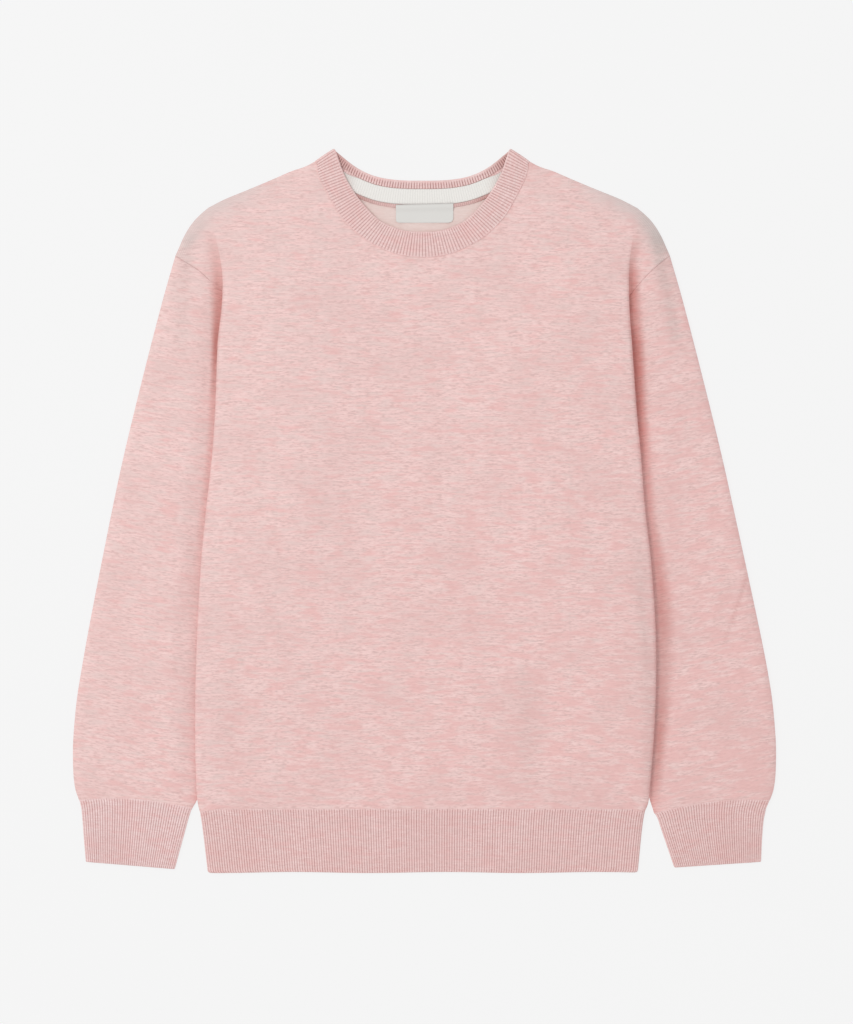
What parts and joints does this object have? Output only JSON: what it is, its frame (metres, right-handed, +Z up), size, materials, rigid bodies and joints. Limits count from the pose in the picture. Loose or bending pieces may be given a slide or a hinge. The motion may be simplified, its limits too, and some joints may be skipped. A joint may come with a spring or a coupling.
{
  "type": "knit sweater",
  "caption": "Long-sleeved crew-neck knit sweater laid flat, with ribbed neckband, cuffs and hem, an inner neck facing and a blank woven label.",
  "frame": {"origin": "on the surface that the sweater lies on, under the middle of its outline", "axes": "+X to the wearer's left, +Y from the hem to the neck, +Z up from the surface, out of the front panel"},
  "size_m": [0.668, 0.6876, 0.0089],
  "materials": {
    "knit": "fine plain knit of pink heather yarn, matt and slightly fuzzy",
    "rib": "ribbed knit of the same yarn, 2.4 to 2.7 mm a rib, matt",
    "knit_back": "inner side of the knit, paler cream pink, matt",
    "facing": "off-white ribbed knit facing, matt",
    "label": "blank woven satin label, pale grey, soft sheen"
  },
  "bodies": {
    "root": {"body_front": "knit", "body_back": "knit_back", "sleeve_right": "knit", "sleeve_left": "knit", "cuff_right": "rib", "cuff_left": "rib", "hem_rib": "rib", "neckband": "rib", "neck_facing": "facing", "neck_tape": "rib", "label": "label"}
  },
  "joints": []
}
